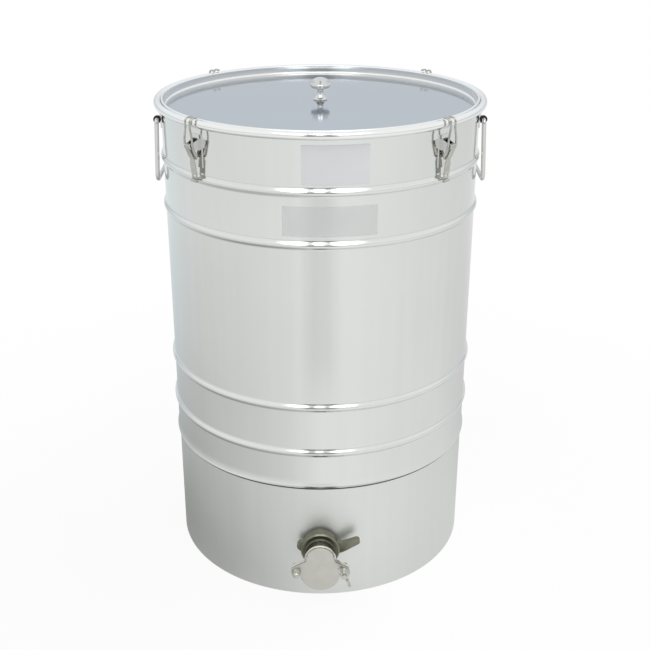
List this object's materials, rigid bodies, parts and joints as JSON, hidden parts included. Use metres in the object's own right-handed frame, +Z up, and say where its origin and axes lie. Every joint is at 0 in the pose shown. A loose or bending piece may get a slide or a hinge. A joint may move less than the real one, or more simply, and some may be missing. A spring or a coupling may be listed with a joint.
{
  "type": "honey settling tank",
  "caption": "Beaded stainless settling tank with a recessed lid, wire toggle latches, drop handles and a swing gate honey valve at the foot.",
  "frame": {"origin": "Centre of the foot ring, on the ground the tank stands on.", "axes": "+Z up along the drum's axis, +X to the right as seen from the valve, the valve towards -Y."},
  "size_m": [0.522, 0.5769, 0.8004],
  "materials": {
    "polished_steel": "bright polished stainless sheet and wire",
    "satin_steel": "satin stainless sheet",
    "valve_steel": "machined stainless, lightly brushed",
    "dark_cast": "dark olive grey casting, lightly polished",
    "black_plastic": "black moulded handle bushes",
    "seal_rubber": "grey-black moulded seal",
    "label_paper": "blank white paper label",
    "sticker_film": "blank clear film"
  },
  "bodies": {
    "tank": {"upper_shell": "polished_steel", "rim_wire": "satin_steel", "lower_shell": "satin_steel", "tank_floor": "satin_steel", "outlet_socket": "satin_steel", "outlet_seal": "seal_rubber", "valve_body": "valve_steel", "gate_seal": "seal_rubber", "pivot_stud": "valve_steel", "pivot_washer": "valve_steel", "pivot_nut": "valve_steel", "clamp_stud": "valve_steel", "left_lugs": "satin_steel", "right_lugs": "satin_steel", "left_bushes": "black_plastic", "right_bushes": "black_plastic", "latch_pins": "dark_cast", "latch_base_fl": "polished_steel", "latch_base_fr": "polished_steel", "latch_base_bl": "polished_steel", "latch_base_br": "polished_steel", "blank_label": "label_paper", "clear_sticker": "sticker_film"},
    "lid": {"lid_pan": "polished_steel", "lid_seal": "seal_rubber", "lid_knob": "polished_steel", "knob_washer": "satin_steel", "knob_screw": "satin_steel"},
    "gate": {"gate_plate": "valve_steel"},
    "clamp": {"clamp_washer": "valve_steel"},
    "wing": {"wing_nut": "valve_steel"},
    "lock_ring": {"lock_nut": "dark_cast"},
    "left_handle": {"left_bail": "polished_steel"},
    "right_handle": {"right_bail": "polished_steel"},
    "lever_fl": {"latch_lever_fl": "satin_steel"},
    "claw_fl": {"latch_claw_fl": "polished_steel"},
    "lever_fr": {"latch_lever_fr": "satin_steel"},
    "claw_fr": {"latch_claw_fr": "polished_steel"},
    "lever_bl": {"latch_lever_bl": "satin_steel"},
    "claw_bl": {"latch_claw_bl": "polished_steel"},
    "lever_br": {"latch_lever_br": "satin_steel"},
    "claw_br": {"latch_claw_br": "polished_steel"}
  },
  "joints": [
    {"name": "lid_lift", "type": "slide", "parent": "tank", "child": "lid", "axis": [0, 0, 1], "range_m": [0, 0.3]},
    {"name": "gate_swing", "type": "hinge", "parent": "tank", "child": "gate", "pos_m": [-0.038, -0.294, 0.079], "axis": [0, -1, 0], "range_deg": [0, 135]},
    {"name": "clamp_travel", "type": "slide", "parent": "tank", "child": "clamp", "axis": [0, -1, 0], "range_m": [0, 0.0025]},
    {"name": "wing_turn", "type": "hinge", "parent": "clamp", "child": "wing", "pos_m": [0.038, -0.3, 0.079], "axis": [0, -1, 0], "range_deg": [0, 720]},
    {"name": "lock_turn", "type": "hinge", "parent": "tank", "child": "lock_ring", "pos_m": [0, -0.2607, 0.098], "axis": [0, -1, 0], "range_deg": [0, 165]},
    {"name": "left_handle_swing", "type": "hinge", "parent": "tank", "child": "left_handle", "pos_m": [-0.25276, 0, 0.744], "axis": [0, 1, 0], "range_deg": [0, 105]},
    {"name": "right_handle_swing", "type": "hinge", "parent": "tank", "child": "right_handle", "pos_m": [0.25276, 0, 0.744], "axis": [0, -1, 0], "range_deg": [0, 105]},
    {"name": "lever_fl_swing", "type": "hinge", "parent": "tank", "child": "lever_fl", "pos_m": [-0.18809, -0.18809, 0.738], "axis": [-0.7071, 0.7071, 0], "range_deg": [0, 130]},
    {"name": "claw_fl_swing", "type": "hinge", "parent": "lever_fl", "child": "claw_fl", "pos_m": [-0.18279, -0.18279, 0.72], "axis": [-0.7071, 0.7071, 0], "range_deg": [-260, 0]},
    {"name": "lever_fr_swing", "type": "hinge", "parent": "tank", "child": "lever_fr", "pos_m": [0.18809, -0.18809, 0.738], "axis": [-0.7071, -0.7071, 0], "range_deg": [0, 130]},
    {"name": "claw_fr_swing", "type": "hinge", "parent": "lever_fr", "child": "claw_fr", "pos_m": [0.18279, -0.18279, 0.72], "axis": [-0.7071, -0.7071, 0], "range_deg": [-260, 0]},
    {"name": "lever_bl_swing", "type": "hinge", "parent": "tank", "child": "lever_bl", "pos_m": [-0.18809, 0.18809, 0.738], "axis": [0.7071, 0.7071, 0], "range_deg": [0, 130]},
    {"name": "claw_bl_swing", "type": "hinge", "parent": "lever_bl", "child": "claw_bl", "pos_m": [-0.18279, 0.18279, 0.72], "axis": [0.7071, 0.7071, 0], "range_deg": [-260, 0]},
    {"name": "lever_br_swing", "type": "hinge", "parent": "tank", "child": "lever_br", "pos_m": [0.18809, 0.18809, 0.738], "axis": [0.7071, -0.7071, 0], "range_deg": [0, 130]},
    {"name": "claw_br_swing", "type": "hinge", "parent": "lever_br", "child": "claw_br", "pos_m": [0.18279, 0.18279, 0.72], "axis": [0.7071, -0.7071, 0], "range_deg": [-260, 0]}
  ],
  "couplings": [
    {"joint": "clamp_travel", "follows": "wing_turn", "m_per_rad": 0.00019894},
    {"joint": "claw_fl_swing", "follows": "lever_fl_swing", "ratio": -2},
    {"joint": "claw_fr_swing", "follows": "lever_fr_swing", "ratio": -2},
    {"joint": "claw_bl_swing", "follows": "lever_bl_swing", "ratio": -2},
    {"joint": "claw_br_swing", "follows": "lever_br_swing", "ratio": -2}
  ]
}
